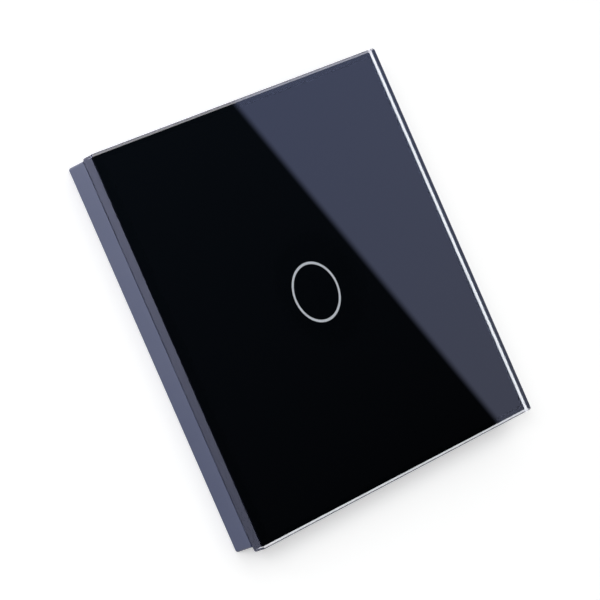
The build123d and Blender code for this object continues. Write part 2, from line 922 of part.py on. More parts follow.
def busbar_solid(x, grow):
    start = cage_bottom + cage_slack
    end = busbar_leg_z + busbar_thickness / 2
    plate = bar(x, (start + end) / 2, busbar_width + 2 * grow, end - start + 2 * grow,
                busbar_front - grow, busbar_back + grow)
    leg = bar(x, busbar_leg_z, busbar_leg_width + 2 * grow, busbar_thickness + 2 * grow,
              board_front - lead_tail, busbar_front)
    return plate + leg


def busbars():
    return joined([busbar_solid(x, 0) for x in cells])


def terminal_block():
    middle = (terminal_bottom + terminal_top) / 2
    block = bar(0, middle, cell_count * cell_pitch, terminal_depth, board_back, terminal_back)
    chamber_height = chamber_top - terminal_bottom
    shank_radius = terminal_screw_radius + terminal_screw_clearance
    for x in cells:
        block -= bar(x, terminal_bottom + chamber_height / 2, chamber_width, chamber_height,
                     chamber_front, chamber_back)
        block -= rod(x, screw_z, shank_radius, chamber_back, shoulder_back)
        block -= rod(x, screw_z, recess_radius, shoulder_back, terminal_back)
        block -= busbar_solid(x, busbar_clearance)
    return block


def terminal_screw(x):
    head_back = shoulder_back + terminal_head_height
    screw = rod(x, screw_z, terminal_head_radius, shoulder_back + thread_clearance, head_back)
    screw = chamfer(screw.faces().sort_by(Axis.Y)[-1].edges(), terminal_head_chamfer)
    screw += rod(x, screw_z, terminal_screw_radius, busbar_back + tip_gap, shoulder_back + thread_clearance)
    return screw - bar(x, screw_z, 2 * terminal_head_radius, terminal_slot,
                       head_back - terminal_slot_depth, head_back)


def terminal_cage(x):
    width = chamber_width - 2 * cage_slack
    middle = (cage_bottom + cage_top) / 2
    cage = bar(x, middle, width, cage_length, cage_front, nut_back)
    cage = fillet(cage.edges().filter_by(Axis.Z), cage_bend)
    cage -= bar(x, middle, width - 2 * cage_wall, cage_length, wire_front, nut_front)
    return cage - rod(x, screw_z, terminal_screw_radius + terminal_thread_clearance, nut_front, nut_back)


# Rear housing

def rear_housing():
    shell = layer(octagon(housing_size, housing_cut), 0, housing_back)
    shell = chamfer(shell.faces().sort_by(Axis.Y)[-1].edges(), housing_back_chamfer)
    shell -= layer(octagon(housing_inner, housing_inner_cut), 0, housing_back - housing_wall)
    wall_middle = housing_inner / 2 + housing_wall / 2
    bosses = []
    for x, z in quarters(boss_offset, boss_offset):
        bosses.append(rod(x, z, boss_radius, 0, boss_length))
    shell += joined(bosses) & layer(octagon(housing_size, housing_cut), 0, boss_length)
    for x, z in quarters(boss_offset, boss_offset):
        shell -= rod(x, z, carrier_screw_radius + thread_clearance, 0, boss_length - boss_end)
    ledge_middle = housing_inner / 2 - ledge_reach / 2
    for x, z in quarters(ledge_middle, ledge_offset):
        shell += bar(x, z, ledge_reach, ledge_width, board_back, board_back + ledge_depth)
    for side in (-1, 1):
        shell += bar(side * ledge_offset, ledge_middle, ledge_width, ledge_reach,
                     board_back, board_back + ledge_depth)
    for x in cells:
        shell -= bar(x, -wall_middle, window_width, housing_wall,
                     wire_front - window_margin, busbar_front + window_margin)
        shell -= rod(x, screw_z, recess_radius, housing_back - housing_wall, housing_back)
    vent_middle = (board_back + housing_back - housing_wall) / 2
    for i in range(vent_count):
        x = vent_pitch * (i - (vent_count - 1) / 2)
        shell -= bar(x, wall_middle, vent_width, housing_wall,
                     vent_middle - vent_length / 2, vent_middle + vent_length / 2)
    return shell


def rear_label():
    plate = Pos(0, label_rise) * RectangleRounded(label_width, label_height, label_corner)
    return layer(plate, housing_back, housing_back + label_thickness)


cell_names = ["neutral", "line", "load"]
parts = {
    "glass_panel": glass_panel(),
    "black_print": black_print(),
    "ring_window": ring_window(),
    "adhesive_gasket": adhesive_gasket(),
    "panel_frame": panel_frame(),
    "retaining_clips": retaining_clips(),
    "mounting_plate": mounting_plate(),
    "touch_carrier": touch_carrier(),
    "carrier_screws": carrier_screws(),
    "touch_board": touch_board(),
    "touch_board_screws": touch_board_screws(),
    "touch_pad": touch_pad(),
    "light_guide": light_guide(),
    "status_leds": status_leds(),
    "touch_chip": touch_chip(),
    "chip_capacitors": chip_capacitors(),
    "pairing_switch": pairing_switch(),
    "pairing_plunger": pairing_plunger(),
    "wireless_module": wireless_module(),
    "shield_can": shield_can(),
    "link_header": link_header(),
    "link_pins": link_pins(),
    "link_socket": link_socket(),
    "power_board": power_board(),
    "bulk_capacitor": bulk_capacitor(),
    "output_capacitor": output_capacitor(),
    "film_capacitor": film_capacitor(),
    "varistor": varistor(),
    "fuse": fuse(),
    "inductor": inductor(),
    "transformer_bobbin": transformer_bobbin(),
    "transformer_core": transformer_core(),
    "transformer_winding": transformer_winding(),
    "converter_chip": converter_chip(),
    "rectifier": rectifier(),
    "relay_base": relay_base(),
    "relay_case": relay_case(),
    "relay_bobbin": relay_bobbin(),
    "relay_winding": relay_winding(),
    "relay_yoke": relay_yoke(),
    "relay_armature": relay_armature(),
    "relay_contact_leaf": relay_contact_leaf(),
    "relay_fixed_contact": relay_fixed_contact(),
    "relay_pins": relay_pins(),
    "terminal_block": terminal_block(),
    "busbars": busbars(),
    "rear_housing": rear_housing(),
    "rear_label": rear_label(),
}
for name, x in zip(cell_names, cells):
    parts["screw_" + name] = terminal_screw(x)
    parts["cage_" + name] = terminal_cage(x)

os.makedirs("parts", exist_ok=True)
for name, shape in parts.items():
    export_step(shape, f"parts/{name}.step")
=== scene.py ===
import bpy
import json
import math
from mathutils import Matrix, Vector


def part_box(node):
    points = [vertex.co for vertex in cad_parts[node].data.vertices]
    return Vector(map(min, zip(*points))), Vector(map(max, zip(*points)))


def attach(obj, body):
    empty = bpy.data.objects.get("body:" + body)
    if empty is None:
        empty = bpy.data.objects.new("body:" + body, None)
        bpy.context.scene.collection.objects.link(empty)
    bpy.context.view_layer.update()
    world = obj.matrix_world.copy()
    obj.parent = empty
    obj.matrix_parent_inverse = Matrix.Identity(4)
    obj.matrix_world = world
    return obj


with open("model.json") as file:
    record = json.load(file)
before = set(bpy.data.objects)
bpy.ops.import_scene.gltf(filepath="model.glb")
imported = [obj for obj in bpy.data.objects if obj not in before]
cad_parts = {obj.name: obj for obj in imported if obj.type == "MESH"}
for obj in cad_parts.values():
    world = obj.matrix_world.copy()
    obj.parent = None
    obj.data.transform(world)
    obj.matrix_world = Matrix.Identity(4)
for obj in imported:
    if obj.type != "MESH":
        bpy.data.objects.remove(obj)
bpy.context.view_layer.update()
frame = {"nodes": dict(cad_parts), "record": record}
print("frame loaded,", len(frame["nodes"]), "nodes")

mm = 0.001


# A socket in a node tree, so that the maths of a material or a layout reads as maths
class Socket:
    def __init__(self, net, port):
        self.net = net
        self.port = port

    def maths(self, operation, first, second):
        return self.net.add("ShaderNodeMath", {"operation": operation}, {0: first, 1: second})["Value"]

    def __add__(self, other):
        return self.maths("ADD", self, other)

    def __radd__(self, other):
        return self.maths("ADD", other, self)

    def __sub__(self, other):
        return self.maths("SUBTRACT", self, other)

    def __rsub__(self, other):
        return self.maths("SUBTRACT", other, self)

    def __mul__(self, other):
        return self.maths("MULTIPLY", self, other)

    def __rmul__(self, other):
        return self.maths("MULTIPLY", other, self)

    def __truediv__(self, other):
        return self.maths("DIVIDE", self, other)

    def __pow__(self, other):
        return self.maths("POWER", self, other)

    def __mod__(self, other):
        return self.maths("FLOORED_MODULO", self, other)

    def __gt__(self, other):
        return self.maths("GREATER_THAN", self, other)

    def __lt__(self, other):
        return self.maths("LESS_THAN", self, other)

    def __abs__(self):
        return self.maths("ABSOLUTE", self, 0.0)

    def floor(self):
        return self.maths("FLOOR", self, 0.0)

    def larger(self, other):
        return self.maths("MAXIMUM", self, other)

    def wave(self):
        return self.maths("SINE", self, 0.0)

    def root(self):
        return self.maths("SQRT", self, 0.0)


# The outputs of one node, found by name or identifier
class Outputs:
    def __init__(self, net, node):
        self.net = net
        self.node = node

    def __getitem__(self, key):
        if isinstance(key, int):
            return Socket(self.net, self.node.outputs[key])
        found = [port for port in self.node.outputs if key in (port.identifier, port.name)]
        return Socket(self.net, found[0])


class Network:
    def __init__(self, tree):
        self.tree = tree
        tree.nodes.clear()

    def add(self, kind, settings=None, sockets=None):
        node = self.tree.nodes.new(kind)
        for name, value in (settings or {}).items():
            setattr(node, name, value)
        for key, value in (sockets or {}).items():
            port = self.inputOf(node, key)
            if isinstance(value, Socket):
                value = [value]
            if isinstance(value, list):
                for source in value:
                    self.tree.links.new(source.port, port)
            else:
                port.default_value = value
        return Outputs(self, node)

    def inputOf(self, node, key):
        if isinstance(key, int):
            return node.inputs[key]
        exact = [port for port in node.inputs if port.identifier == key]
        return (exact or [port for port in node.inputs if port.name == key])[0]

    # Shorthands for what nearly every finish uses
    def place(self):
        return self.add("ShaderNodeTexCoord")["Object"]

    # The surface's own outward direction, also where a ray meets it from inside
    def facing(self):
        geometry = self.add("ShaderNodeNewGeometry")
        side = 1.0 - 2.0 * geometry["Backfacing"]
        return [part * side for part in self.axes(geometry["True Normal"])]

    def axes(self, vector):
        parts = self.add("ShaderNodeSeparateXYZ", {}, {"Vector": vector})
        return parts["X"], parts["Y"], parts["Z"]

    def joined(self, x, y, z):
        return self.add("ShaderNodeCombineXYZ", {}, {"X": x, "Y": y, "Z": z})["Vector"]

    def stretched(self, vector, scale):
        return self.add("ShaderNodeMapping", {}, {"Vector": vector, "Scale": scale})["Vector"]

    def noise(self, vector, scale, detail=3.0, roughness=0.55):
        sockets = {"Vector": vector, "Scale": scale, "Detail": detail, "Roughness": roughness}
        return self.add("ShaderNodeTexNoise", {}, sockets)["Fac"]

    def chance(self, vector):
        return self.add("ShaderNodeTexWhiteNoise", {"noise_dimensions": "3D"}, {"Vector": vector})["Value"]

    def cells(self, vector, scale, output="Distance"):
        return self.add("ShaderNodeTexVoronoi", {}, {"Vector": vector, "Scale": scale})[output]

    def fit(self, value, low, high, start=0.0, end=1.0, how="LINEAR"):
        settings = {"clamp": True, "interpolation_type": how}
        sockets = {"Value": value, "From Min": low, "From Max": high, "To Min": start, "To Max": end}
        return self.add("ShaderNodeMapRange", settings, sockets)["Result"]

    def smooth(self, value, low, high, start=0.0, end=1.0):
        return self.fit(value, low, high, start, end, "SMOOTHSTEP")

    def blendColour(self, factor, first, second):
        sockets = {"Factor_Float": factor, "A_Color": first, "B_Color": second}
        return self.add("ShaderNodeMix", {"data_type": "RGBA"}, sockets)["Result_Color"]

    # One colour made darker and lighter by a pattern
    def toned(self, factor, colour, low, high):
        return self.blendColour(factor, shade(colour, low), shade(colour, high))

    def bump(self, height, distance):
        sockets = {"Height": height, "Distance": distance, "Strength": 1.0}
        return self.add("ShaderNodeBump", {}, sockets)["Normal"]

    def shader(self, values):
        return self.add("ShaderNodeBsdfPrincipled", {}, values)["BSDF"]

    def mixShaders(self, factor, first, second):
        return self.add("ShaderNodeMixShader", {}, {0: factor, 1: first, 2: second})["Shader"]

    def output(self, surface, inside=None):
        sockets = {"Surface": surface}
        if inside:
            sockets["Volume"] = inside
        self.add("ShaderNodeOutputMaterial", {}, sockets)


def newMaterial(name):
    material = bpy.data.materials.new(name)
    material.use_nodes = True
    return material, Network(material.node_tree)


noiseSpan = (0.3, 0.7)  # where nearly all of a noise lies


def shade(colour, factor=1.0):
    return (colour[0] * factor, colour[1] * factor, colour[2] * factor, 1.0)


# Camera, at the photograph's angle. Its place is in millimetres
camera = {
    "place": (-402.7, -442.56, 6.89),
    "right": (0.67381, -0.62086, -0.40064),
    "forward": (0.67352, 0.73906, -0.01257),
    "lens": 183.06,
    "sensor": 36.0,
    "near": 0.01,
    "far": 50.0,
}


def makeCamera():
    data = bpy.data.cameras.new("camera")
    data.lens = camera["lens"]
    data.sensor_width = camera["sensor"]
    data.clip_start = camera["near"]
    data.clip_end = camera["far"]
    cameraObject = bpy.data.objects.new("camera", data)
    bpy.context.collection.objects.link(cameraObject)
    right = Vector(camera["right"]).normalized()
    back = -Vector(camera["forward"]).normalized()
    up = back.cross(right).normalized()
    right = up.cross(back).normalized()
    turn = Matrix((right, up, back)).transposed().to_4x4()
    cameraObject.matrix_world = Matrix.Translation(Vector(camera["place"]) * mm) @ turn
    bpy.context.scene.camera = cameraObject


makeCamera()
print("camera placed")


# Stage: the pale wall that the switch lies on, the studio light and what the glass reflects
wall = {
    "size": 6.0,
    "opening": 69.0 * mm,
    "mirrorOpening": 78.0 * mm,
    "colour": (0.82, 0.82, 0.82),
    "glow": 0.385,
    # painted light: extra glow towards the top, seen only in mirrors
    "cornerGlow": 0.75,
    "cornerFrom": -40.0 * mm,
    "cornerTo": 50.0 * mm,
    "skyLight": 0.60,
    "skySlope": 0.90,
}
lamps = {
    "key": {"place": (-0.85, -0.60, 0.30), "size": 0.42, "power": 4.3},
    "graze": {"place": (-0.24, -0.03, 0.14), "size": 0.06, "power": 0.13, "mirrored": False},
    "edge": {
        "place": (-0.93, -0.30, 0.20), "size": 0.20, "power": 6.5, "mirrored": False,
        "only": "glass_panel",
    },
    "rear": {"place": (0.70, 1.00, 0.80), "size": 0.60, "power": 9.0},
}
card = {
    "distance": 0.9,
    "size": 1.2,
    "litLow": (0.86, 0.88, 0.84),
    "litHigh": (0.92, 1.03, 1.16),
    "darkLow": (0.003, 0.004, 0.004),
    "darkHigh": (0.03, 0.045, 0.045),
    "fade": (0.44, 0.56),
    "edgeSoftness": 0.00105,
    "top": (-1.4, 39.4),
    "bottom": (29.8, -39.3),
}


square = ((-1, -1), (1, -1), (1, 1), (-1, 1))
onlySeen = ("diffuse", "glossy", "shadow", "transmission")
onlyMirrored = ("camera", "diffuse", "shadow", "transmission")


def flatSheet(name, corners, material, faces=((0, 1, 2, 3),), hiddenFrom=()):
    mesh = bpy.data.meshes.new(name)
    mesh.from_pydata(corners, [], faces)
    mesh.uv_layers.new(name="UVMap")
    for loop, (u, v) in zip(mesh.uv_layers[0].data, square):
        loop.uv = ((u + 1) / 2, (v + 1) / 2)
    mesh.materials.append(material)
    sheet = bpy.data.objects.new(name, mesh)
    bpy.context.collection.objects.link(sheet)
    for kind in hiddenFrom:
        setattr(sheet, "visible_" + kind, False)


# One where the camera, a mirror or the glass looks, nought where only light falls
def seenRay(net):
    path = net.add("ShaderNodeLightPath")
    return net.fit(path["Is Camera Ray"] + path["Is Glossy Ray"] + path["Is Transmission Ray"], 0.0, 1.0)


# Behind the switch the wall lets mirror and shadow rays through, so that the zinc plate mirrors the room
def wallMaterial():
    material, net = newMaterial("pale_wall")
    paint = net.add("ShaderNodeBsdfDiffuse", {}, {"Color": shade(wall["colour"])})["BSDF"]
    x, _, z = net.axes(net.place())
    path = net.add("ShaderNodeLightPath")
    mirrored = path["Is Glossy Ray"]
    # Painted light: seen only in mirrors, the wall glows brighter towards the top, in place of a lamp
    # lighting it there
    corner = net.smooth(z, wall["cornerFrom"], wall["cornerTo"]) * mirrored * wall["cornerGlow"]
    glow = {"Color": (1, 1, 1, 1), "Strength": seenRay(net) * wall["glow"] + corner}
    lit = net.add("ShaderNodeEmission", {}, glow)["Emission"]
    front = net.add("ShaderNodeAddShader", {}, {0: paint, 1: lit})["Shader"]
    back = net.add("ShaderNodeBsdfTransparent")["BSDF"]
    behind = abs(x).larger(abs(z)) < wall["mirrorOpening"] / 2
    opening = behind * mirrored.larger(path["Is Shadow Ray"])
    clear = opening.larger(net.add("ShaderNodeNewGeometry")["Backfacing"])
    net.output(net.mixShaders(clear, front, back))
    return material


# The wall is open behind the mounting plate, as it is round a wall box
def makeWall():
    corners = []
    for half in (wall["size"] / 2, wall["opening"] / 2):
        corners += [(u * half, 0, v * half) for u, v in square]
    faces = [(0, 1, 5, 4), (1, 2, 6, 5), (2, 3, 7, 6), (3, 0, 4, 7)]
    flatSheet("wall", corners, wallMaterial(), faces)


# Painted shade: dark sheets just behind the plate's four slots, seen only by the camera and only from the
# front, stand in for the shade inside a wall box
box = {
    "shade": (0.030, 0.031, 0.033),
    "reach": 30.0 * mm,
    "long": 8.8 * mm,
    "short": 4.8 * mm,
    "behind": 0.3 * mm,
}


def makeBoxShade():
    material, net = newMaterial("box_shade")
    dark = net.add("ShaderNodeEmission", {}, {"Color": shade(box["shade"])})["Emission"]
    clear = net.add("ShaderNodeBsdfTransparent")["BSDF"]
    net.output(net.mixShaders(net.add("ShaderNodeNewGeometry")["Backfacing"], dark, clear))
    corners = []
    for side in (-box["reach"], box["reach"]):
        for x, z, width, height in ((side, 0, "long", "short"), (0, side, "short", "long")):
            dx, dz = box[width] / 2, box[height] / 2
            corners += [(x + u * dx, box["behind"], z + v * dz) for u, v in square]
    faces = [tuple(range(first, first + 4)) for first in range(0, len(corners), 4)]
    flatSheet("box_shade", corners, material, faces, onlySeen)


# White where it is seen; as a light, softer and brighter from above
def makeWorld():
    world = bpy.data.worlds.new("studio")
    world.use_nodes = True
    bpy.context.scene.world = world
    net = Network(world.node_tree)
    height = net.axes(net.add("ShaderNodeTexCoord")["Generated"])[2]
    light = (height * wall["skySlope"] + 1.0) * wall["skyLight"]
    seen = seenRay(net)
    strength = seen + (1.0 - seen) * light
    white = {"Color": (1, 1, 1, 1), "Strength": strength}
    background = net.add("ShaderNodeBackground", {}, white)["Background"]
    net.add("ShaderNodeOutputWorld", {}, {"Surface": background})


def makeLamp(name, look):
    data = bpy.data.lights.new(name, "AREA")
    data.shape = "DISK"
    data.size = look["size"]
    data.energy = look["power"]
    lamp = bpy.data.objects.new(name, data)
    bpy.context.collection.objects.link(lamp)
    lamp.location = look["place"]
    lamp.rotation_euler = Vector(look["place"]).to_track_quat("Z", "Y").to_euler()
    lamp.visible_glossy = look.get("mirrored", True)
    if "only" in look:
        lit = bpy.data.collections.new(name + "_lit")
        lit.objects.link(frame["nodes"][look["only"]])
        lamp.light_linking.receiver_collection = lit


def cardMaterial():
    material, net = newMaterial("reflector_card")
    u, v, _ = net.axes(net.add("ShaderNodeTexCoord")["UV"])
    lit = net.smooth(u - 0.5, -card["edgeSoftness"], card["edgeSoftness"])
    height = net.fit(v, *card["fade"])
    dark = net.blendColour(height, shade(card["darkLow"]), shade(card["darkHigh"]))
    bright = net.blendColour(height, shade(card["litLow"]), shade(card["litHigh"]))
    colour = net.blendColour(lit, dark, bright)
    net.output(net.add("ShaderNodeEmission", {}, {"Color": colour, "Strength": 1.0})["Emission"])
    return material


# The card's middle line is the sharp edge that the glass mirrors, from one point of its face to another
def makeCard():
    eye = Vector(camera["place"]) * mm
    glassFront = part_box("glass_panel")[0].y
    mirrored = Vector((eye.x, 2 * glassFront - eye.y, eye.z))
    spots = [Vector((x * mm, glassFront, z * mm)) for x, z in (card["bottom"], card["top"])]
    rays = [(spot - mirrored).normalized() for spot in spots]
    facing = (rays[0] + rays[1]).normalized()
    hits = [mirrored + ray * (card["distance"] / ray.dot(facing)) for ray in rays]
    along = (hits[1] - hits[0]).normalized()
    across = along.cross(facing).normalized()
    middle = (hits[0] + hits[1]) / 2
    half = card["size"] / 2
    corners = [tuple(middle + across * (u * half) + along * (v * half)) for u, v in square]
    flatSheet("reflector_card", corners, cardMaterial(), hiddenFrom=onlyMirrored)


# The studio's dark side, which the glass mirrors from most other angles, with soft light strips on it
room = {
    "distance": 2.6,
    "width": 17.0,
    "height": 7.0,
    "colour": (0.92, 0.97, 1.0),
    "dark": 0.05,
    "strip": 0.70,
    "stripEdge": 3.0,
    "pitch": 1.5,
    "lean": 0.55,
}


def roomMaterial():
    material, net = newMaterial("dark_room")
    x, _, z = net.axes(net.place())
    wave = ((x + z * room["lean"]) * (2 * math.pi / room["pitch"])).wave() * 0.5 + 0.5
    strength = wave ** room["stripEdge"] * room["strip"] + room["dark"]
    light = {"Color": shade(room["colour"]), "Strength": strength}
    net.output(net.add("ShaderNodeEmission", {}, light)["Emission"])
    return material


def makeRoom():
    x, z = room["width"] / 2, room["height"] / 2
    corners = [(u * x, -room["distance"], v * z) for u, v in square]
    flatSheet("dark_room", corners, roomMaterial(), hiddenFrom=onlyMirrored)


makeWall()
makeBoxShade()
makeWorld()
makeRoom()
for lampName, look in lamps.items():
    makeLamp(lampName, look)
makeCard()
bpy.context.scene.view_settings.view_transform = "Standard"
print("stage set")


# Glass: polished clear, with a ground white bevel round the back
glass = {
    "tint": (0.96, 0.985, 0.98),
    "ior": 1.52,
    "sheen": (1.04, 1.12, 1.84, 1.0),
    "depthColour": (0.40, 0.62, 0.57),
    "depthStrength": 45.0,
    "ground": (0.75, 0.69, 0.765),
    "groundTone": (0.92, 1.04),
    "grit": 5200.0,
    "bevelFrom": 0.3,
    "bevelTo": 0.9,
    "frontTurn": -0.95,
    "clearRim": 37.55 * mm,
    "endTrim": 0.95 * mm,
    "rimBlend": 0.3 * mm,
    "clearRing": 10.8 * mm,
    "ringBlend": 2.2 * mm,
}
inks = {
    "black": {
        "colour": (0.0009, 0.0010, 0.0013), "grain": 900.0, "tone": (0.8, 1.2), "thread": (0.3, 0.6),
        "rough": 0.5,
    },
    "ring": {
        "colour": (0.73, 0.70, 0.81), "grain": 2500.0, "tone": (0.93, 1.07), "thread": (0.25, 0.88),
        "rough": 0.6,
    },
}
screenThreads = 9000.0
inkBack = {
    "colour": (0.014, 0.015, 0.018),
    "cloud": 260.0,
    "tone": (0.85, 1.2),
    "rough": (0.34, 0.46),
    "peel": 1600.0,
    "depth": 0.004 * mm,
}


def glassFinish(net):
    clear = net.shader({"Base Color": shade(glass["tint"]), "Roughness": 0.0, "IOR": glass["ior"],
                        "Transmission Weight": 1.0, "Specular Tint": glass["sheen"]})
    grit = net.noise(net.place(), glass["grit"], 2.0)
    tone = net.toned(grit, glass["ground"], *glass["groundTone"])
    ground = net.add("ShaderNodeBsdfDiffuse", {}, {"Color": tone})["BSDF"]
    turned = net.facing()[1]
    bevel = (turned > glass["bevelFrom"]) * (turned < glass["bevelTo"])
    x, _, z = net.axes(net.place())
    reach = (x * x + z * z).root()
    soft, wide = glass["rimBlend"], glass["ringBlend"]
    across = abs(x).larger(abs(z) - glass["endTrim"])
    inner = net.smooth(across, glass["clearRim"] - soft, glass["clearRim"] + soft, 1.0, 0.0)
    blank = net.smooth(reach, glass["clearRing"] - wide, glass["clearRing"] + wide)
    backed = net.shader({"Base Color": shade(inks["black"]["colour"]), "Roughness": 0.0,
                         "IOR": glass["ior"], "Specular Tint": glass["sheen"]})
    body = net.mixShaders((turned < glass["frontTurn"]) * inner * blank, clear, backed)
    body = net.mixShaders(bevel, body, ground)
    path = net.add("ShaderNodeLightPath")
    shadow = net.fit(path["Is Shadow Ray"] + path["Is Diffuse Ray"], 0.0, 1.0)
    return net.mixShaders(shadow * (1.0 - bevel), body, net.add("ShaderNodeBsdfTransparent")["BSDF"])


# The plate is clear across its thickness and deep green along its length
def glassDepth(net):
    sockets = {"Color": shade(glass["depthColour"]), "Density": glass["depthStrength"]}
    return net.add("ShaderNodeVolumeAbsorption", {}, sockets)["Volume"]


# Two waves crossed, for woven threads
def weave(x, z, threads):
    return (x * threads).wave() * (z * threads).wave()


# Print on the glass's back: black ink and the ring's pale ink, with the screen's threads as a faint chequer
def bondedInk(net, look):
    place = net.place()
    x, _, z = net.axes(place)
    threads = weave(x, z, screenThreads) * 0.5 + 0.5
    share, dark = look["thread"]
    tone = net.toned(net.noise(place, look["grain"]), look["colour"], *look["tone"])
    tone = net.blendColour(threads * share, tone, shade(look["colour"], dark))
    return net.shader({"Base Color": tone, "Roughness": look["rough"], "Specular IOR Level": 0.0})


def blackInk(net):
    cloud = net.noise(net.place(), inkBack["cloud"], 4.0)
    bare = net.toned(cloud, inkBack["colour"], *inkBack["tone"])
    peel = net.bump(net.noise(net.place(), inkBack["peel"], 2.0), inkBack["depth"])
    rough = net.fit(cloud, *noiseSpan, *inkBack["rough"])
    back = net.shader({"Base Color": bare, "Roughness": rough, "Normal": peel})
    return net.mixShaders(net.facing()[1] > 0.5, bondedInk(net, inks["black"]), back)


def ringInk(net):
    return bondedInk(net, inks["ring"])


# Moulded and coated parts. Grain is the mould's texture, in grains per metre and with its depth
mouldings = {
    "frame_plastic": {"colour": (0.049, 0.060, 0.121), "rough": 0.42, "grain": 7000, "depth": 0.006 * mm},
    "carrier_plastic": {"colour": (0.70, 0.70, 0.675), "rough": 0.46, "grain": 5200, "depth": 0.010 * mm},
    "plunger_plastic": {"colour": (0.028, 0.028, 0.03), "rough": 0.38, "grain": 9000, "depth": 0.004 * mm},
    "header_plastic": {"colour": (0.026, 0.026, 0.028), "rough": 0.45, "grain": 6000, "depth": 0.008 * mm},
    "relay_blue": {"colour": (0.02, 0.12, 0.36), "rough": 0.22, "grain": 900, "depth": 0.006 * mm},
    "relay_black": {"colour": (0.028, 0.028, 0.029), "rough": 0.40, "grain": 6000, "depth": 0.008 * mm},
    "terminal_grey": {"colour": (0.30, 0.31, 0.32), "rough": 0.40, "grain": 6000, "depth": 0.008 * mm},
    "housing_plastic": {"colour": (0.76, 0.755, 0.72), "rough": 0.50, "grain": 4200, "depth": 0.016 * mm},
    "chip_resin": {"colour": (0.018, 0.018, 0.019), "rough": 0.55, "grain": 11000, "depth": 0.006 * mm},
    "sleeve_black": {"colour": (0.012, 0.012, 0.016), "rough": 0.20, "grain": 700, "depth": 0.012 * mm},
    "film_yellow": {"colour": (0.72, 0.46, 0.03), "rough": 0.24, "grain": 1200, "depth": 0.006 * mm},
    "varistor_blue": {"colour": (0.02, 0.10, 0.38), "rough": 0.26, "grain": 1500, "depth": 0.020 * mm},
    "fuse_white": {"colour": (0.78, 0.77, 0.72), "rough": 0.30, "grain": 2600, "depth": 0.006 * mm},
    "tan_ceramic": {"colour": (0.42, 0.27, 0.15), "rough": 0.40, "grain": 8000, "depth": 0.004 * mm},
    "ferrite": {"colour": (0.035, 0.035, 0.038), "rough": 0.48, "grain": 3800, "depth": 0.020 * mm},
    "guide_plastic": {"colour": (0.80, 0.82, 0.84), "rough": 0.30, "grain": 3000, "depth": 0.004 * mm},
    "lamp_resin": {"colour": (0.82, 0.80, 0.70), "rough": 0.28, "grain": 3000, "depth": 0.004 * mm},
}


# What all mouldings share: clouds, flow lines and specks of pigment per metre, and how much each changes
mould = {
    "cloud": 110.0,
    "cloudTone": (0.955, 1.045),
    "flow": (40.0, 40.0, 260.0),
    "flowRough": 0.05,
    "specks": 1.7,
    "speckShare": 0.35,
    "speckTone": 0.80,
}


def mouldedFinish(net, look):
    place = net.place()
    cloud = net.noise(place, mould["cloud"])
    flow = net.noise(net.stretched(place, mould["flow"]), 1.0, 4.0)
    pigment = net.noise(place, look["grain"] * mould["specks"], 1.0)
    tone = net.toned(cloud, look["colour"], *mould["cloudTone"])
    tone = net.blendColour(pigment * mould["speckShare"], tone, shade(look["colour"], mould["speckTone"]))
    swing = mould["flowRough"]
    rough = net.fit(flow, *noiseSpan, look["rough"] - swing, look["rough"] + swing)
    grain = net.noise(place, look["grain"], 2.0, 0.6)
    return net.shader({"Base Color": tone, "Roughness": rough, "Normal": net.bump(grain, look["depth"])})


# Metals. Lines are left by rolling or turning: how many per metre along each axis, and how deep in tone
metals = {
    "spring_steel": {"colour": (0.52, 0.52, 0.54), "rough": 0.26, "lines": (60, 900, 5200), "depth": 0.16},
    "zinc_plate": {"colour": (0.54, 0.56, 0.59), "rough": 0.34, "lines": (14, 14, 900), "depth": 0.14},
    "screw_steel": {"colour": (0.60, 0.61, 0.62), "rough": 0.24, "lines": (700, 5200, 700), "depth": 0.14},
    "switch_steel": {"colour": (0.58, 0.58, 0.58), "rough": 0.26, "lines": (120, 900, 6000), "depth": 0.10},
    "can_steel": {"colour": (0.66, 0.66, 0.67), "rough": 0.22, "lines": (100, 900, 3600), "depth": 0.08},
    "gold_pins": {"colour": (0.83, 0.62, 0.26), "rough": 0.20, "lines": (1800, 300, 1800), "depth": 0.10},
    "soft_iron": {"colour": (0.50, 0.50, 0.50), "rough": 0.34, "lines": (200, 900, 3600), "depth": 0.16},
    "contact_bronze": {"colour": (0.70, 0.46, 0.22), "rough": 0.26, "lines": (120, 900, 4800), "depth": 0.12},
    "bus_brass": {"colour": (0.74, 0.57, 0.27), "rough": 0.26, "lines": (120, 900, 4200), "depth": 0.12},
    "cage_steel": {"colour": (0.58, 0.58, 0.56), "rough": 0.32, "lines": (400, 900, 3600), "depth": 0.16},
}
# What all metals share: stains and crystals per metre, and what the lines change at a depth of one
metalWear = {
    "stain": 55.0,
    "stainSpan": (0.45, 0.75),
    "stainShare": 0.5,
    "stainTone": 0.82,
    "crystal": 420.0,
    "crystalRough": 0.5,
    "smoother": 0.5,
    "rougher": 0.6,
    "relief": 0.01 * mm,
}


def metalFinish(net, look):
    place = net.place()
    streaks = net.noise(net.stretched(place, look["lines"]), 1.0, 3.0)
    stain = net.smooth(net.noise(place, metalWear["stain"], 4.0), *metalWear["stainSpan"])
    crystal = net.cells(place, metalWear["crystal"], "Color")
    cell = net.add("ShaderNodeSeparateColor", {}, {"Color": crystal})["Red"]
    depth = look["depth"]
    tone = net.toned(streaks, look["colour"], 1.0 - depth, 1.0 + depth / 2)
    stained = shade(look["colour"], metalWear["stainTone"])
    tone = net.blendColour(stain * metalWear["stainShare"], tone, stained)
    smoothest = look["rough"] - depth * metalWear["smoother"]
    wear = net.fit(streaks, *noiseSpan, smoothest, look["rough"] + depth * metalWear["rougher"])
    rough = wear + (cell - 0.5) * (depth * metalWear["crystalRough"])
    normal = net.bump(streaks, depth * metalWear["relief"])
    return net.shader({"Base Color": tone, "Roughness": rough, "Metallic": 1.0, "Normal": normal})


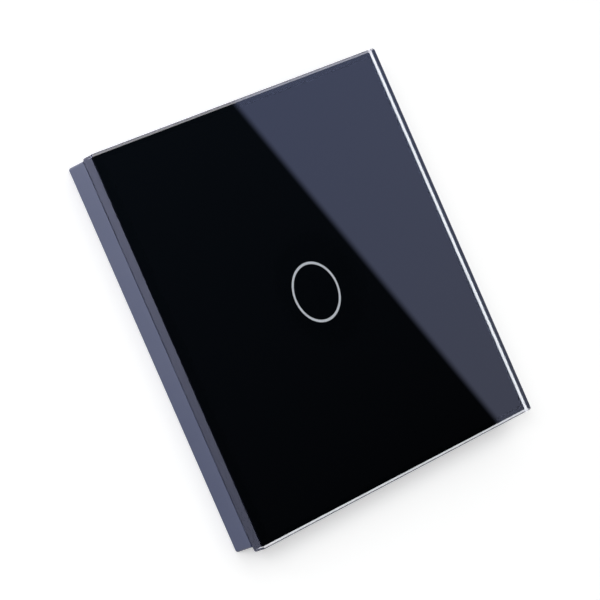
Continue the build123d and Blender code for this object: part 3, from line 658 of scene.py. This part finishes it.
# Foams: closed cells in the tape, open weave on the pad
foams = {
    "foam_tape": {"colour": (0.022, 0.022, 0.024), "cells": 4200, "depth": 0.06 * mm},
    "pad_foam": {"colour": (0.050, 0.050, 0.055), "cells": 2600, "depth": 0.09 * mm},
}
foamCells = {"span": (0.1, 0.6), "tone": (1.5, 0.6), "rough": 0.9}


def foamFinish(net, look):
    bubble = net.cells(net.place(), look["cells"])
    tone = net.toned(net.fit(bubble, *foamCells["span"]), look["colour"], *foamCells["tone"])
    normal = net.bump(bubble, look["depth"])
    return net.shader({"Base Color": tone, "Roughness": foamCells["rough"], "Normal": normal})


# Wound wire: turns stacked along the coil's axis
windings = {
    "colour": (0.70, 0.30, 0.11),
    "shadow": (0.16, 0.05, 0.02),
    "turns": 2 * math.pi / (0.19 * mm),
    "grain": 500.0,
    "wander": 2.0,
    "ridge": (-1.0, 0.6),
    "relief": 0.05 * mm,
    "rough": 0.24,
    "metal": 0.85,
}


def wireFinish(net):
    place = net.place()
    z = net.axes(place)[2]
    wander = net.noise(place, windings["grain"]) * windings["wander"]
    height = net.fit((z * windings["turns"] + wander).wave(), *windings["ridge"])
    tone = net.blendColour(height, shade(windings["shadow"]), shade(windings["colour"]))
    normal = net.bump(height, windings["relief"])
    return net.shader({"Base Color": tone, "Roughness": windings["rough"], "Metallic": windings["metal"],
                       "Normal": normal})


# Circuit boards: green mask over copper tracks, bare rims, tinned vias with their holes painted near black as
# shade, and white part outlines
board = {
    "mask": (0.010, 0.085, 0.038),
    "copper": (0.022, 0.165, 0.075),
    "laminate": (0.42, 0.36, 0.17),
    "silk": (0.72, 0.74, 0.72),
    "tin": (0.72, 0.70, 0.64),
    "hole": (0.01, 0.01, 0.01),
    "trackPitch": 0.9 * mm,
    "trackWidth": 0.17,
    "blockTracks": 9.0,
    "trackRun": 6.0,
    "viaPitch": 3.1 * mm,
    "viaRadius": 0.30 * mm,
    "viaHole": 0.13 * mm,
    "viaReach": 22.4 * mm,
    "silkLine": 0.09 * mm,
    "silkGap": 0.55 * mm,
    "silkCircle": 7.7 * mm,
    "blankTracks": 0.38,
    "blankVias": 0.62,
    "rowShift": 5.0,
    "seeds": {"block": 3.0, "row": 7.0, "via": 11.0},
    "maskGrain": 160.0,
    "maskTone": (0.88, 1.12),
    "rimGrain": (300.0, 9000.0, 300.0),
    "rimTone": (0.8, 1.1),
    "threads": 4200.0,
    "relief": 0.02 * mm,
    "heights": {"track": 0.7, "silk": 0.3, "via": 0.8, "hole": -1.2, "thread": 0.08},
    "rough": 0.28,
    "rimRough": 0.4,
    "silkRough": 0.2,
}
outlined = ("touch_chip", "pairing_switch")


def boardTracks(net, x, z):
    u, v = x / board["trackPitch"], z / board["trackPitch"]
    seeds, size = board["seeds"], board["blockTracks"]
    blocks = net.joined((u / size).floor(), (v / size).floor(), seeds["block"])
    upright = net.chance(blocks) > 0.5
    along = u * upright + v * (1.0 - upright)
    across = v * upright + u * (1.0 - upright)
    row = across.floor()
    start = net.chance(net.joined(row, seeds["row"], upright)) * board["rowShift"]
    run = (along / board["trackRun"] + start).floor()
    present = net.chance(net.joined(row, run, upright)) > board["blankTracks"]
    return (abs(across % 1.0 - 0.5) < board["trackWidth"]) * present


def boardVias(net, x, z):
    u, v = x / board["viaPitch"], z / board["viaPitch"]
    present = net.chance(net.joined(u.floor(), v.floor(), board["seeds"]["via"])) > board["blankVias"]
    present = present * (abs(x).larger(abs(z)) < board["viaReach"])
    du, dv = (u % 1.0 - 0.5) * board["viaPitch"], (v % 1.0 - 0.5) * board["viaPitch"]
    reach = (du * du + dv * dv).root()
    return (reach < board["viaRadius"]) * present, (reach < board["viaHole"]) * present


# How far a place lies outside a part's outline, less than nought inside it
def outside(name, x, z):
    low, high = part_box(name)
    dx = abs(x - (low.x + high.x) / 2) - (high.x - low.x) / 2
    dz = abs(z - (low.z + high.z) / 2) - (high.z - low.z) / 2
    return dx.larger(dz)


def silkOutlines(x, z):
    lines = abs((x * x + z * z).root() - board["silkCircle"]) < board["silkLine"]
    for name in outlined:
        lines = lines.larger(abs(outside(name, x, z) - board["silkGap"]) < board["silkLine"])
    return lines


def boardFinish(net):
    place = net.place()
    x, _, z = net.axes(place)
    flat = abs(net.facing()[1]) > 0.5
    tracks = boardTracks(net, x, z)
    via, hole = boardVias(net, x, z)
    silk = silkOutlines(x, z)
    mask = net.toned(net.noise(place, board["maskGrain"]), board["mask"], *board["maskTone"])
    tone = net.blendColour(tracks, mask, shade(board["copper"]))
    tone = net.blendColour(silk, tone, shade(board["silk"]))
    tone = net.blendColour(via, tone, shade(board["tin"]))
    # Painted shade: the via holes are coloured near black for the shade inside them
    tone = net.blendColour(hole, tone, shade(board["hole"]))
    layers = net.noise(net.stretched(place, board["rimGrain"]), 1.0)
    tone = net.blendColour(flat, net.toned(layers, board["laminate"], *board["rimTone"]), tone)
    metal = via * (1.0 - hole) * flat
    rough = board["rough"] + (1.0 - flat) * board["rimRough"] + silk * board["silkRough"]
    high = board["heights"]
    height = tracks * high["track"] + silk * high["silk"] + via * high["via"] + hole * high["hole"]
    height = height + weave(x, z, board["threads"]) * high["thread"]
    normal = net.bump(height * flat, board["relief"])
    return net.shader({"Base Color": tone, "Roughness": rough, "Metallic": metal, "Normal": normal})


# Blank silver label with a thin printed border
label = {
    "film": (0.56, 0.57, 0.58),
    "border": (0.16, 0.17, 0.18),
    "inset": 1.2 * mm,
    "line": 0.12 * mm,
    "brush": (160.0, 160.0, 9000.0),
    "brushTone": (0.9, 1.06),
    "rough": (0.48, 0.60),
    "metal": 0.22,
    "borderMetal": 0.02,
    "relief": 0.002 * mm,
}


def labelFinish(net):
    place = net.place()
    x, _, z = net.axes(place)
    border = abs(outside("rear_label", x, z) + label["inset"]) < label["line"]
    brushed = net.noise(net.stretched(place, label["brush"]), 1.0, 3.0)
    tone = net.toned(brushed, label["film"], *label["brushTone"])
    tone = net.blendColour(border, tone, shade(label["border"]))
    rough = net.fit(brushed, *noiseSpan, *label["rough"])
    metal = label["metal"] - border * (label["metal"] - label["borderMetal"])
    normal = net.bump(brushed, label["relief"])
    return net.shader({"Base Color": tone, "Roughness": rough, "Metallic": metal, "Normal": normal})


special = {
    "clear_glass": glassFinish,
    "black_ink": blackInk,
    "ring_ink": ringInk,
    "copper_wire": wireFinish,
    "circuit_board": boardFinish,
    "label_film": labelFinish,
}


def makeFinish(slot):
    material, net = newMaterial(slot)
    if slot in special:
        surface = special[slot](net)
    elif slot in mouldings:
        surface = mouldedFinish(net, mouldings[slot])
    elif slot in metals:
        surface = metalFinish(net, metals[slot])
    else:
        surface = foamFinish(net, foams[slot])
    net.output(surface, glassDepth(net) if slot == "clear_glass" else None)
    return material


finishes = {entry["slot"]: makeFinish(entry["slot"]) for entry in frame["record"]["materials"]}
for part in frame["record"]["subparts"]:
    node = frame["nodes"][part["node"]]
    node.data.materials.clear()
    node.data.materials.append(finishes[part["material_slot"]])
print("finishes assigned,", len(finishes), "in all")

# Small parts and solder that Geometry Nodes set out on the touch board's front. Lengths are in metres, and
# a block's taper is how much narrower its top is
boardParts = {
    "capacitor_ends": {
        "slot": "can_steel", "Columns": 6, "Rows": 2, "Column Pitch": 2.6 * mm, "Row Pitch": 1.28 * mm,
        "Middle Z": -19.0 * mm, "Width": 0.86 * mm, "Depth": 0.36 * mm, "Height": 0.63 * mm,
        "Corner": 0.06 * mm, "Taper": 0.90,
    },
    "chip_feet": {
        "slot": "can_steel", "Columns": 4, "Rows": 2, "Column Pitch": 1.27 * mm, "Row Pitch": 5.0 * mm,
        "Middle Z": -14.5 * mm, "Width": 0.48 * mm, "Depth": 0.96 * mm, "Height": 0.21 * mm,
        "Corner": 0.08 * mm, "Taper": 0.80,
    },
    "pin_solder": {
        "slot": "can_steel", "Columns": 5, "Rows": 1, "Column Pitch": 2.54 * mm, "Row Pitch": 0.0,
        "Middle Z": -11.0 * mm, "Width": 0.90 * mm, "Depth": 0.90 * mm, "Height": 0.34 * mm,
        "Corner": 0.45 * mm, "Taper": 0.66,
    },
    "chip_resistors": {
        "slot": "chip_resin", "Columns": 8, "Rows": 1, "Column Pitch": 2.6 * mm, "Row Pitch": 0.0,
        "Middle Z": 13.0 * mm, "Width": 0.80 * mm, "Depth": 1.20 * mm, "Height": 0.42 * mm,
        "Corner": 0.05 * mm, "Taper": 0.94,
    },
    "resistor_ends": {
        "slot": "can_steel", "Columns": 8, "Rows": 2, "Column Pitch": 2.6 * mm, "Row Pitch": 1.02 * mm,
        "Middle Z": 13.0 * mm, "Width": 0.84 * mm, "Depth": 0.32 * mm, "Height": 0.46 * mm,
        "Corner": 0.06 * mm, "Taper": 0.88,
    },
}
stitchVias = {
    "slot": "can_steel", "Side": 47.6 * mm, "Pitch": 2.38 * mm, "Radius": 0.34 * mm, "Rim": 0.11 * mm,
}


# A new node tree with a named input for each size
def newLayout(name, sizes):
    tree = bpy.data.node_groups.new(name, "GeometryNodeTree")
    for title, value in sizes.items():
        kind = "NodeSocketInt" if isinstance(value, int) else "NodeSocketFloat"
        tree.interface.new_socket(name=title, in_out="INPUT", socket_type=kind)
    tree.interface.new_socket(name="Material", in_out="INPUT", socket_type="NodeSocketMaterial")
    tree.interface.new_socket(name="Geometry", in_out="OUTPUT", socket_type="NodeSocketGeometry")
    net = Network(tree)
    return net, net.add("NodeGroupInput")


# The layout is drawn flat, and stands up against the board's front at the end
def endLayout(net, given, places, item):
    placed = net.add("GeometryNodeInstanceOnPoints", {}, {"Points": places, "Instance": item})["Instances"]
    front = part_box("touch_board")[0].y
    stand = {"Geometry": placed, "Rotation": (math.pi / 2, 0, 0), "Translation": (0, front, 0)}
    stood = net.add("GeometryNodeTransform", {}, stand)["Geometry"]
    whole = net.add("GeometryNodeRealizeInstances", {}, {"Geometry": stood})["Geometry"]
    finish = {"Geometry": whole, "Material": given["Material"]}
    dressed = net.add("GeometryNodeSetMaterial", {}, finish)["Geometry"]
    net.add("NodeGroupOutput", {}, {"Geometry": dressed})


shoulder = 0.7  # the share of a block's height that isn't tapered
cornerSteps = 3
ringSteps = 12
rimSteps = 4


# A block with rounded corners and a narrower top, for a small part or a drop of solder
def blockItem(net, given):
    size = {"Width": given["Width"], "Height": given["Depth"]}
    outline = net.add("GeometryNodeCurvePrimitiveQuadrilateral", {"mode": "RECTANGLE"}, size)["Curve"]
    corner = {"Curve": outline, "Count": cornerSteps, "Radius": given["Corner"], "Limit Radius": True}
    rounded = net.add("GeometryNodeFilletCurve", {"mode": "POLY"}, corner)["Curve"]
    foot = net.add("GeometryNodeFillCurve", {"mode": "NGONS"}, {"Curve": rounded})["Mesh"]
    rise = {"Mesh": foot, "Offset Scale": given["Height"] * shoulder, "Individual": False}
    risen = net.add("GeometryNodeExtrudeMesh", {"mode": "FACES"}, rise)
    top = given["Height"] * (1.0 - shoulder)
    cap = {"Mesh": risen["Mesh"], "Selection": risen["Top"], "Offset Scale": top, "Individual": False}
    capped = net.add("GeometryNodeExtrudeMesh", {"mode": "FACES"}, cap)
    narrow = {"Geometry": capped["Mesh"], "Selection": capped["Top"], "Scale": given["Taper"]}
    tapered = net.add("GeometryNodeScaleElements", {"domain": "FACE"}, narrow)["Geometry"]
    under = net.add("GeometryNodeFlipFaces", {}, {"Mesh": foot})["Mesh"]
    joined = net.add("GeometryNodeJoinGeometry", {}, {"Geometry": [tapered, under]})["Geometry"]
    closed = {"Geometry": joined, "Distance": 0.001 * mm}
    return net.add("GeometryNodeMergeByDistance", {}, closed)["Geometry"]


def blockLayout(sizes):
    net, given = newLayout("rows_of_blocks", sizes)
    width = given["Column Pitch"] * (given["Columns"] - 1.0)
    depth = given["Row Pitch"] * (given["Rows"] - 1.0)
    size = {"Size X": width, "Size Y": depth, "Vertices X": given["Columns"], "Vertices Y": given["Rows"]}
    grid = net.add("GeometryNodeMeshGrid", {}, size)["Mesh"]
    shift = {"Geometry": grid, "Translation": net.joined(0.0, given["Middle Z"], 0.0)}
    places = net.add("GeometryNodeTransform", {}, shift)["Geometry"]
    endLayout(net, given, places, blockItem(net, given))
    return net.tree


# Tinned rings along a square, for the vias that tie the board's two ground planes together
def ringLayout(sizes):
    net, given = newLayout("rings_on_square", sizes)
    side = {"Width": given["Side"], "Height": given["Side"]}
    outline = net.add("GeometryNodeCurvePrimitiveQuadrilateral", {"mode": "RECTANGLE"}, side)["Curve"]
    places = net.add("GeometryNodeCurveToPoints", {"mode": "LENGTH"},
                     {"Curve": outline, "Length": given["Pitch"]})["Points"]
    path = net.add("GeometryNodeCurvePrimitiveCircle", {"mode": "RADIUS"},
                   {"Resolution": ringSteps, "Radius": given["Radius"]})["Curve"]
    section = net.add("GeometryNodeCurvePrimitiveCircle", {"mode": "RADIUS"},
                      {"Resolution": rimSteps, "Radius": given["Rim"]})["Curve"]
    ring = net.add("GeometryNodeCurveToMesh", {}, {"Curve": path, "Profile Curve": section})["Mesh"]
    endLayout(net, given, places, ring)
    return net.tree


def makeBoardPiece(name, tree, look):
    source = bpy.data.objects.new(name + "_source", bpy.data.meshes.new(name + "_source"))
    bpy.context.collection.objects.link(source)
    modifier = source.modifiers.new("layout", "NODES")
    modifier.node_group = tree
    for port in tree.interface.items_tree:
        if port.in_out == "INPUT":
            modifier[port.identifier] = finishes[look["slot"]] if port.name == "Material" else look[port.name]
    ready = source.evaluated_get(bpy.context.evaluated_depsgraph_get())
    mesh = bpy.data.meshes.new_from_object(ready)
    bpy.data.objects.remove(source)
    piece = bpy.data.objects.new(name, mesh)
    bpy.context.collection.objects.link(piece)
    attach(piece, "base")


def sizesOf(look):
    return {title: value for title, value in look.items() if title != "slot"}


blocks = blockLayout(sizesOf(boardParts["chip_feet"]))
for pieceName, look in boardParts.items():
    makeBoardPiece(pieceName, blocks, look)
makeBoardPiece("stitch_vias", ringLayout(sizesOf(stitchVias)), stitchVias)
print("board parts set out")
